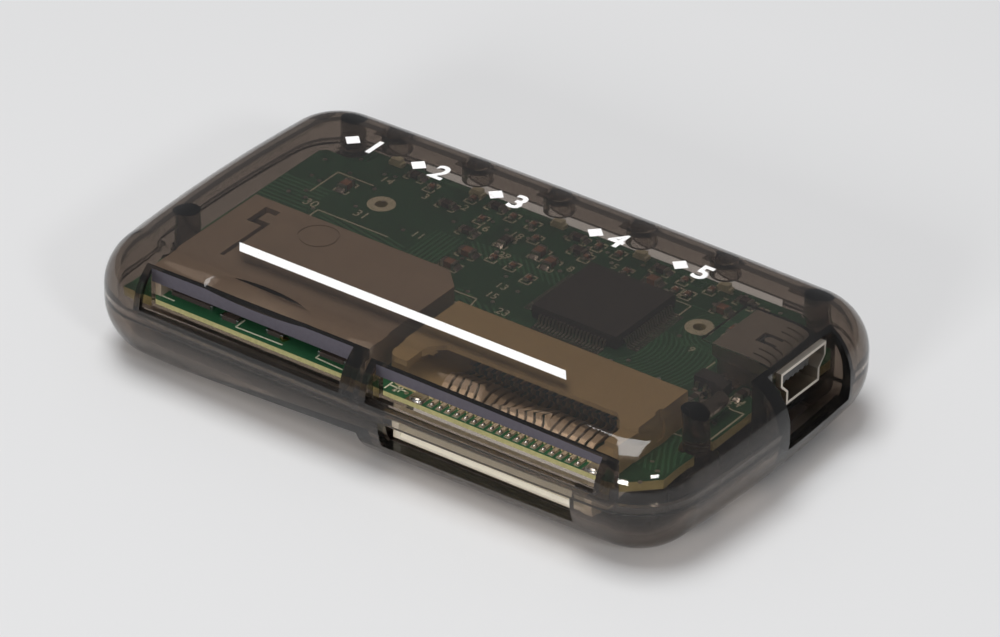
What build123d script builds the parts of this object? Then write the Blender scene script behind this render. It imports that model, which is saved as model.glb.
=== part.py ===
from build123d import *
import math
import os

# A memory card reader in a clear smoky case. Millimetres, Z up. X runs along the case with the
# USB socket at +X, the card windows face -Y and the origin is the middle of the underside.

# Case
left_room = 7.75            # from the left end of the case to the left socket
right_room = 8.0            # from the right socket to the right end of the case
case_width = 40.9
bottom_depth = 6.35
top_depth = 6.35
end_bow = 1.2
side_bow = 0.5
corner_radius = 7.0
top_rounding = 5.4
bottom_rounding = 6.2
wall = 1.2
tongue_height = 0.7
tongue_clearance = 0.06

# Circuit board
board_thickness = 1.0
board_rise = 1.4            # from the parting line up to the board's top face
board_front_gap = 3.15      # from the front of the case
board_back_gap = 3.35
board_left_gap = 4.5
board_panel_gap = 0.2
board_corner_cut = 3.2
board_hole_diameter = 1.3
board_hole_spacing = 38.1
board_hole_middle_x = -0.22
board_hole_back_gap = 7.88
notch_clearance = 0.25

# Posts that join the covers
post_diameter = 2.6
boss_diameter = 4.4
pin_diameter = 1.4
pin_clearance = 0.05
pin_length = 2.6
pin_hole_spare = 0.4        # below the end of a pin
post_end_gap = 5.0          # from the ends of the case to the front posts
back_post_end_gap = 7.2
post_front_gap = 12.45
post_back_gap = 4.45
post_seat_gap = 0.05

# Card windows and sockets on top of the board
lip_height = 1.55           # from the parting line up to the lip of both windows
sill_drop = 0.55            # from the lip down to the sill behind it
sill_lift = 0.1             # from the parting line up to the underside of the sill
board_edge_gap = 0.15       # between the board's front edge and what stands before it
socket_gap = 1.85
socket_setback = 0.7        # from the board's front edge
card_clearance = 0.15
fit_gap = 0.05              # round a contact or tab in its slot
socket_roof = 0.5
slot_rise = 0.25            # from the board up to the underside of a card

sd_card_width = 24.0
sd_card_thickness = 2.1
sd_wall = 0.7
sd_depth = 16.0
sd_window_setback = 2.45    # from the front of the case back to the cut face
sd_carrier = 2.1
sd_corner_cut = 2.2
sd_contact_count = 9
sd_contact_pitch = 2.5
sd_contact_width = 0.9
sd_hook_inset = 3.3         # from the left side of the cavity to the long leg of the hook
sd_hook_slot = 0.5
sd_hook_width = 0.8
sd_hook_reach = 2.3
sd_hook_leg = 7.4
sd_hook_gap = 1.3           # from the back of the socket
sd_gate_diameter = 4.2
sd_gate_shift = 3.2         # to the left of the middle

xd_card_width = 25.3
xd_wall = 0.55
xd_depth = 11.15
xd_setback = 1.5
xd_carrier = 1.4
xd_floor = 0.4
xd_corner_radius = 1.2
xd_mouth_depth = 4.0
xd_mouth_left = 2.3
xd_mouth_right = 1.5
xd_mouth_corner = 1.6
xd_window_width = 26.2
xd_window_offset = 0.55
xd_window_setback = 1.85
xd_contact_count = 18
xd_contact_pitch = 1.0
xd_contact_width = 0.7
xd_slot_width = 0.8
xd_tail_width = 0.45
xd_contact_offset = 0.8     # from the middle of the socket to the middle of its contacts
xd_tail_length = 1.2
tab_width = 1.4
tab_gap = 1.0               # from the last contact to a tab
tab_length = 1.1
tab_hold = 1.4
tab_thickness = 0.2

# Card socket under the board
ms_card_width = 21.5
ms_card_thickness = 2.8
ms_wall = 0.8
ms_roof = 0.42
ms_floor = 0.6
ms_depth = 11.6
ms_setback = 0.3
ms_offset = 1.45            # from the left end of the socket above it
ms_carrier = 1.5
ms_contact_count = 10
ms_contact_pitch = 1.8
ms_contact_width = 0.8

# Header for the largest card, under the board and open to the back
cf_card_width = 42.8
cf_wall = 1.4
cf_body_gap = 3.7           # behind the lower socket
cf_body_depth = 4.0
cf_arm_end_gap = 7.6        # from the back of the case to the ends of the arms
cf_floor_gap = 0.15
cf_slot_floor = 1.4
cf_slot_rise = 0.3          # from the parting line up to the top of the slot
cf_window_side = 0.3
cf_column_count = 25
cf_pin_pitch = 1.27
cf_row_spacing = 1.27
cf_pin_size = 0.44
cf_pin_reach = 4.2
cf_pin_clearance = 0.03

# USB socket and the pocket in the right end
usb_socket_gap = 11.0       # from the back of the right socket to the middle of this one
usb_width = 7.6
usb_low_width = 5.6
usb_height = 3.9
usb_length = 7.95
usb_sheet = 0.3
usb_shoulder = 1.45         # height of the straight part of the sides, from the top
usb_proud = 0.5
usb_foot_length = 1.4
usb_foot_width = 0.9
usb_slot_width = 0.24
usb_slot_end_gap = 1.2      # from the mouth to the ends of the spring slots
usb_spring_half = 0.88      # half the width of the middle spring
usb_window_length = 2.1
usb_catch_width = 0.9
usb_slot_steps = (1.02, 1.98)   # from the side of the middle spring to the side slots
usb_slot_length = 2.7
pocket_depth = 2.8
pocket_width = 10.9
pocket_floor_drop = 1.5     # from the parting line down to the pocket's floor
socket_clearance = 0.15
usb_contact_count = 5
usb_contact_pitch = 0.8
usb_contact_width = 0.35
usb_tongue_thickness = 1.1
usb_tongue_width = 4.4

# Indicators
led_count = 5
led_pitch = 9.88
led_middle_x = -2.84
led_back_gap = 0.75         # from the board's back edge to the middle of the indicators
led_length = 1.6
led_width = 0.8
led_height = 0.75
tube_diameter = 3.2
tube_bore = 2.2
tube_air = 1.1              # from an indicator up to its tube

# Controller
chip_offset = 9.63          # from the left side of the right socket to the middle of the chip
chip_size = 10.0
chip_height = 1.4
chip_stand = 0.1
chip_side_lead_count = 20
chip_lead_pitch = 0.4
chip_lead_width = 0.2
chip_lead_thickness = 0.13
chip_lead_reach = 1.0

# Small parts on the board
crystal_diameter = 2.0
crystal_length = 4.6
crystal_wire = 0.3
crystal_gap = 0.3           # beside the right socket
crystal_post_gap = 2.4      # from the middle of the front post to the can
regulator_inset = 1.2       # from the right side of the right socket
regulator_gap = 5.7         # behind the right socket
regulator_length = 2.9
regulator_width = 1.6
regulator_height = 1.1
regulator_lead_pitch = 0.95
resistor_length = 1.6
resistor_width = 0.8
resistor_height = 0.5
capacitor_length = 1.6
capacitor_width = 0.9
capacitor_height = 0.65

# Thumb relief over the left window and finger relief below it
thumb_radius = 57.0
thumb_length = 14.0
thumb_run = 2.5
thumb_slope = 27.0
finger_relief = 0.9
finger_slope = 37.0
finger_run = 27.0
finger_step_offset = 0.18   # from midway between the sockets to the step of the relief

# Places worked out from the sizes above
sd_width = sd_card_width + 2 * card_clearance + 2 * sd_wall
xd_width = xd_card_width + 2 * card_clearance + 2 * xd_wall
case_length = left_room + sd_width + socket_gap + xd_width + right_room
right_x = case_length / 2
front_y = -case_width / 2
back_y = case_width / 2
parting_z = bottom_depth
top_z = bottom_depth + top_depth
inner_top_z = top_z - wall
board_top_z = parting_z + board_rise
board_under_z = board_top_z - board_thickness
board_front_y = front_y + board_front_gap
board_back_y = back_y - board_back_gap
board_left_x = board_left_gap - right_x
panel_x = right_x - pocket_depth
board_right_x = panel_x - wall - board_panel_gap
lip_z = parting_z + lip_height
sill_z = lip_z - sill_drop
sd_window_y = front_y + sd_window_setback
xd_window_y = front_y + xd_window_setback

sd_left_x = left_room - right_x
sd_right_x = sd_left_x + sd_width
sd_cavity_left_x = sd_left_x + sd_wall
sd_cavity_right_x = sd_right_x - sd_wall
sd_front_y = board_front_y + socket_setback
sd_back_y = sd_front_y + sd_depth
sd_roof_z = board_top_z + slot_rise + sd_card_thickness + card_clearance / 2
socket_top_z = sd_roof_z + socket_roof
socket_middle_x = sd_right_x + socket_gap / 2

xd_left_x = sd_right_x + socket_gap
xd_right_x = xd_left_x + xd_width
xd_middle_x = (xd_left_x + xd_right_x) / 2
xd_front_y = board_front_y + xd_setback
xd_back_y = xd_front_y + xd_depth
xd_mouth_y = xd_front_y + xd_mouth_depth
xd_row_x = xd_middle_x + xd_contact_offset
tab_reach = (xd_contact_count - 1) / 2 * xd_contact_pitch + tab_gap + tab_width / 2

ms_left_x = xd_left_x + ms_offset
ms_right_x = ms_left_x + ms_card_width + 2 * card_clearance + 2 * ms_wall
ms_middle_x = (ms_left_x + ms_right_x) / 2
ms_front_y = board_front_y + ms_setback
ms_back_y = ms_front_y + ms_depth
ms_roof_z = board_under_z - ms_roof
ms_floor_z = ms_roof_z - ms_card_thickness - card_clearance
ms_under_z = ms_floor_z - ms_floor

cf_half_slot = cf_card_width / 2 + card_clearance
cf_body_front_y = ms_back_y + cf_body_gap
cf_back_y = cf_body_front_y + cf_body_depth
cf_under_z = wall + cf_floor_gap
cf_middle_z = (cf_slot_floor + board_under_z) / 2

usb_center_y = xd_back_y + usb_socket_gap
usb_mouth_x = panel_x + usb_proud
usb_rear_x = usb_mouth_x - usb_length
usb_top_z = board_top_z + usb_height
pocket_floor_z = parting_z - pocket_floor_drop
led_y = board_back_y - led_back_gap
tube_end_z = board_top_z + led_height + tube_air

chip_x = xd_left_x + chip_offset
chip_y = (xd_back_y + led_y) / 2
crystal_x = xd_right_x + crystal_gap + crystal_diameter / 2
crystal_front_y = front_y + post_front_gap + crystal_post_gap
regulator_x = xd_right_x - regulator_inset
regulator_y = xd_back_y + regulator_gap


def block(x0, x1, y0, y1, z0, z1):
    """A plain block between two corners."""
    middle = ((x0 + x1) / 2, (y0 + y1) / 2, (z0 + z1) / 2)
    return Pos(*middle) * Box(x1 - x0, y1 - y0, z1 - z0)


def upright(x, y, diameter, z0, z1):
    """A round bar standing at (x, y)."""
    return Pos(x, y, (z0 + z1) / 2) * Cylinder(diameter / 2, z1 - z0)


def side_line(path, shift):
    """The points of an open path moved sideways by shift, with mitred corners."""
    line = []
    for i in range(len(path)):
        before = Vector(*path[max(i, 1)]) - Vector(*path[max(i, 1) - 1])
        after = Vector(*path[min(i + 1, len(path) - 1)]) - Vector(*path[min(i, len(path) - 2)])
        normal = before.normalized().rotate(Axis.Z, 90)
        mitre = (normal + after.normalized().rotate(Axis.Z, 90)).normalized()
        line.append(Vector(*path[i]) + mitre * (shift / mitre.dot(normal)))
    return line


def strip(path, thickness, width):
    """A bent metal strip whose middle line is path, given as (Y, Z), and centred on X = 0."""
    one_side = side_line(path, thickness / 2)
    other_side = side_line(path, -thickness / 2)
    outline = Polyline(*one_side, *reversed(other_side), close=True)
    profile = Plane.YZ * make_face(outline)
    return extrude(profile, width / 2, both=True)


def row(count, pitch):
    """Evenly spaced offsets about zero."""
    return [(i - (count - 1) / 2) * pitch for i in range(count)]


def case_plan(inset):
    """Outline of the case, drawn in by inset: four bowed sides with round corners."""
    x = case_length / 2 - inset
    y = case_width / 2 - inset
    corner_x = x - end_bow
    corner_y = y - side_bow
    with BuildSketch() as plan:
        with BuildLine():
            ThreePointArc((corner_x, -corner_y), (x, 0), (corner_x, corner_y))
            ThreePointArc((corner_x, corner_y), (0, y), (-corner_x, corner_y))
            ThreePointArc((-corner_x, corner_y), (-x, 0), (-corner_x, -corner_y))
            ThreePointArc((-corner_x, -corner_y), (0, -y), (corner_x, -corner_y))
        make_face()
        fillet(plan.vertices(), corner_radius - inset)
    return plan.sketch


def half_case(inset, depth, rounding):
    """Half of the case as a solid standing on the parting plane, its far edge rounded."""
    half = extrude(case_plan(inset), depth)
    far_edges = half.edges().group_by(Axis.Z)[-1]
    return fillet(far_edges, rounding)


def upper_half(inset):
    """The top half, shrunk by inset."""
    return Pos(0, 0, parting_z) * half_case(inset, top_depth - inset, top_rounding - inset)


def lower_half(inset):
    """The bottom half, shrunk by inset."""
    half = half_case(inset, bottom_depth - inset, bottom_rounding - inset)
    return Pos(0, 0, parting_z) * mirror(half, Plane.XY)


def post_places():
    """Where the covers are joined: two posts near each end."""
    front = front_y + post_front_gap
    back = back_y - post_back_gap
    front_x = right_x - post_end_gap
    back_x = right_x - back_post_end_gap
    return [(-front_x, front), (front_x, front), (-back_x, back), (back_x, back)]


def led_places():
    """Where the indicators sit on the board."""
    return [(led_middle_x + x, led_y) for x in row(led_count, led_pitch)]


def pocket(grow, z0, z1):
    """The pocket round the USB socket, larger by grow for the walls behind it."""
    half = pocket_width / 2 + grow
    return block(panel_x - grow, right_x + 1, usb_center_y - half, usb_center_y + half, z0 - grow, z1)


def usb_outline(grow):
    """The socket's mouth in the YZ plane: wide above, narrow below."""
    top = usb_top_z + grow
    half = usb_width / 2 + grow
    low_half = usb_low_width / 2 + grow
    shoulder = usb_top_z - usb_shoulder
    waist = shoulder - (usb_width - usb_low_width) / 2
    bottom = board_top_z - grow
    right_side = [(half, top), (half, shoulder), (low_half, waist), (low_half, bottom)]
    left_side = [(-y, z) for y, z in reversed(right_side)]
    points = [(usb_center_y + y, z) for y, z in right_side + left_side]
    return Plane.YZ * make_face(Polyline(*points, close=True))


def usb_bar(grow, x0, x1):
    """A bar with the socket's outline from x0 to x1."""
    return Pos(x0, 0, 0) * extrude(usb_outline(grow), x1 - x0)


def thumb_relief():
    """A long shallow cylinder that hollows the edge over the left window."""
    sag = thumb_radius - math.sqrt(thumb_radius ** 2 - (thumb_length / 2) ** 2)
    edge_rise = math.sqrt(top_rounding ** 2 - (top_rounding - sd_window_setback) ** 2)
    lowest_z = top_z - top_rounding + edge_rise - sag
    middle_x = (sd_cavity_left_x + sd_cavity_right_x) / 2
    tool = Cylinder(thumb_radius, 4 * thumb_run)
    tool = Pos(0, 0, thumb_radius) * Rot(90, 0, 0) * tool
    return Pos(middle_x, sd_window_y, lowest_z) * Rot(thumb_slope, 0, 0) * tool


def finger_cut(depth):
    """A slanted block that flattens the lower front edge, deepest at its step near the middle."""
    tilt = math.degrees(math.atan2(finger_relief, finger_run))
    reach = 2 * case_width
    tool = Pos(-reach / 2, 0, -reach / 2) * Box(reach, reach, reach)
    slope = math.radians(finger_slope)
    middle_y = front_y + bottom_rounding
    touch_y = middle_y - (bottom_rounding - depth) * math.sin(slope)
    touch_z = bottom_rounding - (bottom_rounding - depth) * math.cos(slope)
    step_x = socket_middle_x + finger_step_offset + depth - finger_relief
    tool = Pos(step_x, touch_y, touch_z) * Rot(-finger_slope, 0, 0) * Rot(0, -tilt, 0) * tool
    keep = block(-right_x - 1, step_x, front_y - 1, middle_y + bottom_rounding, -1, parting_z)
    return tool & keep


def windows():
    """The two card windows in the top cover as (left X, right X, Y of the cut face)."""
    xd_window_x = xd_left_x + xd_window_offset
    return [(sd_cavity_left_x, sd_cavity_right_x, sd_window_y),
            (xd_window_x, xd_window_x + xd_window_width, xd_window_y)]


def top_cover():
    """Upper shell with the windows, the USB pocket, the posts and the indicator tubes."""
    rebate_height = tongue_height + tongue_clearance
    rebate = extrude(case_plan(wall / 2 - tongue_clearance), rebate_height)
    rebate -= extrude(case_plan(wall + tongue_clearance), rebate_height)
    room = upper_half(wall)
    for left, right, back in windows():
        room -= block(left - wall, right + wall, front_y, board_front_y - board_edge_gap,
                      parting_z + sill_lift, top_z)
        room -= block(left - wall, right + wall, front_y, back + wall, sd_roof_z, top_z)
    room += Pos(0, 0, parting_z) * rebate
    room -= pocket(wall, parting_z + wall, top_z)
    for x, y in post_places():
        room -= upright(x, y, post_diameter, board_under_z + post_seat_gap, top_z)
    for x, y in led_places():
        room -= upright(x, y, tube_diameter, tube_end_z, top_z)
        room += upright(x, y, tube_bore, tube_end_z - wall, inner_top_z - wall / 4)
    cover = upper_half(0) - room
    cover -= pocket(0, parting_z, top_z + 1)
    cover -= usb_bar(socket_clearance, usb_rear_x - wall, right_x)
    for left, right, back in windows():
        cover -= block(left, right, front_y - 1, back, lip_z, top_z + 1)
        cover -= block(left, right, front_y + wall, back + wall + 1, sill_z, sd_roof_z)
    half = cf_half_slot + cf_window_side
    cover -= block(-half, half, board_back_y, back_y + 1, parting_z - 1, parting_z + cf_slot_rise)
    cover -= thumb_relief()
    for x, y in post_places():
        cover += upright(x, y, pin_diameter, board_under_z - pin_length, board_under_z + wall)
    return cover


def bottom_cover():
    """Lower shell with its tongue, bosses, the front slot, the back slot and the pocket's floor."""
    pin_hole = pin_diameter + 2 * pin_clearance
    pin_floor_z = board_under_z - pin_length - pin_hole_spare
    room = lower_half(wall) - finger_cut(finger_relief + wall)
    room -= pocket(wall, pocket_floor_z, parting_z)
    for x, y in post_places():
        room -= upright(x, y, boss_diameter, 0, parting_z)
        room += upright(x, y, pin_hole, pin_floor_z, parting_z)
    cover = lower_half(0) - finger_cut(finger_relief) - room
    cover -= pocket(0, pocket_floor_z, top_z)
    tongue = extrude(case_plan(wall / 2), tongue_height) - extrude(case_plan(wall), tongue_height)
    behind = wall + tongue_clearance
    cover += Pos(0, 0, parting_z) * tongue - pocket(behind, parting_z + behind, top_z)
    for x, y in post_places():
        boss = upright(x, y, boss_diameter, parting_z, board_under_z)
        cover += boss - upright(x, y, pin_hole, pin_floor_z, top_z)
    window_edge = ms_wall - card_clearance
    cover -= block(ms_left_x + window_edge, ms_right_x - window_edge,
                   front_y - 1, ms_front_y, ms_floor_z, top_z)
    half = cf_half_slot + cf_window_side
    return cover - block(-half, half, back_y - bottom_rounding, back_y + 1, cf_slot_floor, top_z)


def circuit_board():
    """Board with one cut corner, notches for the posts and two small holes."""
    board = block(board_left_x, board_right_x, board_front_y, board_back_y, board_under_z, board_top_z)
    upright_edges = board.edges().filter_by(Axis.Z)
    corners = upright_edges.sort_by(Axis.X)
    front_right = corners[-2:].sort_by(Axis.Y)[0]
    back_left = corners[:2].sort_by(Axis.Y)[-1]
    board = chamfer([front_right, back_left], board_corner_cut)
    for x, y in post_places():
        notch = upright(x, y, post_diameter + 2 * notch_clearance, 0, top_z)
        half = post_diameter / 2 + notch_clearance
        side = math.copysign(right_x, x)
        board -= notch + block(min(x, side), max(x, side), y - half, y + half, 0, top_z)
    for x in row(2, board_hole_spacing):
        hole_x = board_hole_middle_x + x
        board -= upright(hole_x, board_back_y - board_hole_back_gap, board_hole_diameter, 0, top_z)
    return board


def sd_contact_path():
    """Side line of one contact of the left socket, from its tail to its tip."""
    thickness = 0.15
    low = board_top_z + thickness / 2
    carrier_y = sd_back_y - sd_carrier
    return [(sd_back_y + 1.0, low), (carrier_y - 0.4, low), (carrier_y - 5.0, low + slot_rise * 2.4),
            (carrier_y - 6.0, low + slot_rise * 1.2)]


def sd_socket_housing():
    """Left socket: a roof on two side walls with the contact carrier across the back."""
    body = block(sd_left_x, sd_right_x, sd_front_y, sd_back_y, board_top_z, socket_top_z)
    carrier_y = sd_back_y - sd_carrier
    body -= block(sd_cavity_left_x, sd_cavity_right_x, sd_front_y - 1, carrier_y,
                  board_top_z - 1, sd_roof_z)
    back_edges = body.edges().filter_by(Axis.Z).filter_by_position(Axis.X, sd_right_x - 0.01, sd_right_x + 0.01)
    body = chamfer(back_edges.sort_by(Axis.Y)[-1], sd_corner_cut)
    middle_x = (sd_cavity_left_x + sd_cavity_right_x) / 2
    for x in row(sd_contact_count, sd_contact_pitch):
        half = sd_contact_width / 2 + 0.05
        body -= block(middle_x + x - half, middle_x + x + half, carrier_y - 1, sd_back_y + 1,
                      board_top_z - 1, board_top_z + slot_rise)
    leg_x = sd_cavity_left_x + sd_hook_inset
    hook_x = leg_x + sd_hook_slot - sd_hook_reach
    hook_y = sd_back_y - sd_hook_gap
    open_z = sd_roof_z - socket_roof
    elbow_y = hook_y - sd_hook_reach
    body -= block(leg_x, leg_x + sd_hook_slot, elbow_y - sd_hook_leg, elbow_y, open_z, top_z)
    body -= block(hook_x, leg_x + sd_hook_slot, elbow_y - sd_hook_width, elbow_y, open_z, top_z)
    body -= block(hook_x, hook_x + sd_hook_width, elbow_y - sd_hook_width, hook_y, open_z, top_z)
    body -= block(hook_x, leg_x, hook_y - sd_hook_width, hook_y, open_z, top_z)
    gate = Cylinder(sd_gate_diameter / 2, 0.2) - Cylinder(sd_gate_diameter / 2 - 0.2, 0.2)
    return body - Pos(middle_x - sd_gate_shift, sd_back_y - sd_gate_diameter / 2 - 0.5, socket_top_z) * gate


def sd_socket_contacts():
    """Spring contacts of the left socket."""
    middle_x = (sd_cavity_left_x + sd_cavity_right_x) / 2
    contact = strip(sd_contact_path(), 0.15, sd_contact_width)
    return [Pos(middle_x + x, 0, 0) * contact for x in row(sd_contact_count, sd_contact_pitch)]


def xd_socket_housing():
    """Right socket: a frame with a wide mouth cut in its roof and a comb along its floor."""
    body = block(xd_left_x, xd_right_x, xd_front_y, xd_back_y, board_top_z, socket_top_z)
    corner = body.edges().filter_by(Axis.Z).sort_by(Axis.X)[:2].sort_by(Axis.Y)[0]
    body = fillet(corner, xd_corner_radius)
    cavity_left = xd_left_x + xd_wall
    cavity_right = xd_right_x - xd_wall
    floor_z = board_top_z + xd_floor
    body -= block(cavity_left, cavity_right, xd_front_y - 1, xd_back_y - xd_carrier, floor_z, sd_roof_z)
    mouth = block(xd_left_x + xd_mouth_left, xd_right_x - xd_mouth_right, xd_front_y - 1, xd_mouth_y,
                  sd_roof_z - 1, top_z)
    body -= chamfer(mouth.edges().filter_by(Axis.Z).group_by(Axis.Y)[-1], xd_mouth_corner)
    for x in row(xd_contact_count, xd_contact_pitch):
        slot_x = xd_row_x + x
        half = xd_slot_width / 2
        body -= block(slot_x - half, slot_x + half, xd_front_y - 1, xd_back_y - xd_carrier - 1,
                      board_top_z - 1, floor_z + 1)
    for side in (-1, 1):
        tab_x = xd_row_x + side * tab_reach
        half = tab_width / 2 + fit_gap
        body -= block(tab_x - half, tab_x + half, xd_front_y - 1, xd_front_y + tab_hold + fit_gap,
                      board_top_z - 1, board_top_z + tab_thickness + fit_gap)
    key_x = xd_right_x - xd_wall / 2
    body -= block(key_x, xd_right_x + 1, xd_front_y + 6.0, xd_front_y + 7.0, board_top_z + 0.6, top_z)
    return body


def xd_socket_contacts():
    """Spring contacts of the right socket, with their tails in the window."""
    thickness = 0.15
    low = board_top_z + thickness / 2
    top = board_top_z + xd_floor + 0.75
    path = [(xd_front_y - xd_tail_length, low), (xd_front_y + 0.4, low), (xd_front_y + 0.9, low + 0.35),
            (xd_front_y + 2.0, top - 0.2), (xd_front_y + 3.2, top), (xd_front_y + 4.4, top - 0.2),
            (xd_front_y + 5.3, top - 0.65)]
    contact = strip(path, thickness, xd_contact_width)
    for side in (-1, 1):
        edges = sorted([side * xd_tail_width / 2, side * xd_contact_width])
        contact -= block(*edges, xd_front_y - xd_tail_length - 1, xd_front_y + 0.9, 0, top_z)
    return [Pos(xd_row_x + x, 0, 0) * contact for x in row(xd_contact_count, xd_contact_pitch)]


def xd_hold_down_tabs():
    """Two flat solder tabs at the front corners of the right socket."""
    tabs = []
    for side in (-1, 1):
        tab_x = xd_row_x + side * tab_reach
        tabs.append(block(tab_x - tab_width / 2, tab_x + tab_width / 2, xd_front_y - tab_length,
                          xd_front_y + tab_hold, board_top_z, board_top_z + tab_thickness))
    return tabs


def ms_socket_housing():
    """Lower socket: a flat box open to the front, hung under the board."""
    body = block(ms_left_x, ms_right_x, ms_front_y, ms_back_y, ms_under_z, board_under_z)
    body -= block(ms_left_x + ms_wall, ms_right_x - ms_wall, ms_front_y - 1, ms_back_y - ms_carrier,
                  ms_floor_z, ms_roof_z)
    lower_lip = body.edges().filter_by(Axis.X).filter_by_position(Axis.Y, ms_front_y - 0.01, ms_front_y + 0.01)
    body = chamfer(lower_lip.group_by(Axis.Z)[1], ms_floor / 2)
    for x in row(ms_contact_count, ms_contact_pitch):
        half = ms_contact_width / 2 + 0.05
        body -= block(ms_middle_x + x - half, ms_middle_x + x + half, ms_back_y - ms_carrier - 5.5,
                      ms_back_y + 1, ms_roof_z - 0.3, board_under_z + 1)
    return body


def ms_socket_contacts():
    """Spring contacts of the lower socket, soldered to the underside of the board."""
    thickness = 0.15
    high = board_under_z - thickness / 2
    carrier_y = ms_back_y - ms_carrier
    path = [(ms_back_y + 0.9, high), (carrier_y - 0.2, high), (carrier_y - 4.2, ms_roof_z - 0.6),
            (carrier_y - 5.0, ms_roof_z - 0.3)]
    contact = strip(path, thickness, ms_contact_width)
    return [Pos(ms_middle_x + x, 0, 0) * contact for x in row(ms_contact_count, ms_contact_pitch)]


def cf_row_heights():
    """Heights of the two rows of pins in the header."""
    return [cf_middle_z + z for z in row(2, cf_row_spacing)]


def cf_header_housing():
    """Header body across the slot, with a guide arm at each end."""
    outer = cf_half_slot + cf_wall
    body = block(-outer, outer, cf_body_front_y, cf_back_y, cf_under_z, board_under_z)
    for side in (-1, 1):
        inner_x = side * cf_half_slot
        outer_x = side * outer
        body += block(min(inner_x, outer_x), max(inner_x, outer_x), cf_back_y,
                      back_y - cf_arm_end_gap, cf_under_z, board_under_z)
    half = cf_pin_size / 2 + cf_pin_clearance
    for x in row(cf_column_count, cf_pin_pitch):
        for z in cf_row_heights():
            body -= block(x - half, x + half, cf_body_front_y - 1, cf_back_y + 1, z - half, z + half)
    return body


def cf_header_pins():
    """Fifty square pins: each runs through the body, rises behind it and ends in a foot."""
    pins = []
    half = cf_pin_size / 2
    for x in row(cf_column_count, cf_pin_pitch):
        for level, z in enumerate(cf_row_heights()):
            rear_y = cf_body_front_y - 0.3 - (1 - level) * 0.8
            pin = block(x - half, x + half, rear_y, cf_back_y + cf_pin_reach, z - half, z + half)
            tail = block(x - half, x + half, rear_y - cf_pin_size, rear_y, z - half, board_under_z)
            pins.append(pin + tail)
    return pins


def usb_socket_shell():
    """Folded steel shell with spring slots in its top and four feet."""
    shell = usb_bar(0, usb_rear_x, usb_mouth_x) - usb_bar(-usb_sheet, usb_rear_x + usb_sheet, usb_mouth_x + 1)
    slot_end_x = usb_mouth_x - usb_slot_end_gap
    catch_x = usb_rear_x + usb_length / 2
    window_end_x = catch_x + usb_window_length / 2
    under_z = usb_top_z - usb_sheet
    slots = [(usb_spring_half, slot_end_x - window_end_x + 0.1)]
    slots += [(usb_spring_half + step, usb_slot_length) for step in usb_slot_steps]
    for side in (-1, 1):
        for reach, length in slots:
            slot_y = usb_center_y + side * reach
            shell -= block(slot_end_x - length, slot_end_x, slot_y - usb_slot_width / 2,
                           slot_y + usb_slot_width / 2, under_z - 0.1, usb_top_z + 1)
    shell -= block(window_end_x - usb_window_length, window_end_x, usb_center_y - usb_spring_half,
                   usb_center_y + usb_spring_half, under_z - 0.1, usb_top_z + 1)
    shell += block(catch_x, window_end_x, usb_center_y - usb_catch_width / 2,
                   usb_center_y + usb_catch_width / 2, under_z, usb_top_z)
    shell += upright(catch_x, usb_center_y, usb_catch_width, under_z, usb_top_z)
    low_half = usb_low_width / 2
    for side in (-1, 1):
        for foot_x in (usb_rear_x + 0.8, panel_x - wall - 0.4 - usb_foot_length):
            inner_y = usb_center_y + side * (low_half - usb_sheet)
            outer_y = usb_center_y + side * (low_half + usb_foot_width)
            shell += block(foot_x, foot_x + usb_foot_length, min(inner_y, outer_y), max(inner_y, outer_y),
                           board_top_z, board_top_z + usb_sheet)
    return shell


def usb_tongue_z():
    """Middle height of the tongue in the socket's mouth."""
    return usb_top_z - usb_height * 0.42


def usb_socket_insert():
    """Dark block at the back of the socket with the tongue that carries the contacts."""
    gap = 0.05
    back = usb_bar(-usb_sheet - gap, usb_rear_x + usb_sheet + gap, usb_rear_x + usb_length * 0.4)
    middle = usb_tongue_z()
    half = usb_tongue_thickness / 2
    tongue = block(usb_rear_x + usb_length * 0.3, usb_mouth_x - 0.9, usb_center_y - usb_tongue_width / 2,
                   usb_center_y + usb_tongue_width / 2, middle - half, middle + half)
    insert = back + tongue
    for y in row(usb_contact_count, usb_contact_pitch):
        width = usb_contact_width / 2 + 0.02
        insert -= block(usb_rear_x, usb_mouth_x, usb_center_y + y - width, usb_center_y + y + width,
                        middle - half - 1, middle - half + 0.15)
    return insert


def usb_socket_contacts():
    """Flat contacts under the tongue."""
    under = usb_tongue_z() - usb_tongue_thickness / 2
    contacts = []
    for y in row(usb_contact_count, usb_contact_pitch):
        contacts.append(block(usb_rear_x + usb_sheet + 0.1, usb_mouth_x - 1.2,
                              usb_center_y + y - usb_contact_width / 2,
                              usb_center_y + y + usb_contact_width / 2, under - 0.05, under + 0.15))
    return contacts


def controller_chip():
    """Square moulded body with tapered sides and a pin one mark."""
    z0 = board_top_z + chip_stand
    half_height = chip_height / 2
    middle = Pos(chip_x, chip_y, z0 + half_height)
    upper = middle * extrude(Rectangle(chip_size, chip_size), half_height, taper=7)
    lower = middle * extrude(Rectangle(chip_size, chip_size), -half_height, taper=7)
    mark = Pos(chip_x - chip_size / 2 + 1.2, chip_y - chip_size / 2 + 1.2, z0 + chip_height) * Cylinder(0.5, 0.1)
    return upper + lower - mark


def controller_leads():
    """Gull-wing leads on the four sides of the controller."""
    thickness = chip_lead_thickness
    foot_z = board_top_z + thickness / 2
    exit_z = board_top_z + chip_stand + chip_height / 2
    start_y = chip_size / 2
    path = [(start_y, exit_z), (start_y + 0.25, exit_z), (start_y + 0.45, foot_z),
            (start_y + chip_lead_reach, foot_z)]
    lead = strip(path, thickness, chip_lead_width)
    leads = []
    for turn in range(4):
        for x in row(chip_side_lead_count, chip_lead_pitch):
            leads.append(Pos(chip_x, chip_y, 0) * Rot(0, 0, 90 * turn) * Pos(x, 0, 0) * lead)
    return leads


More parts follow.
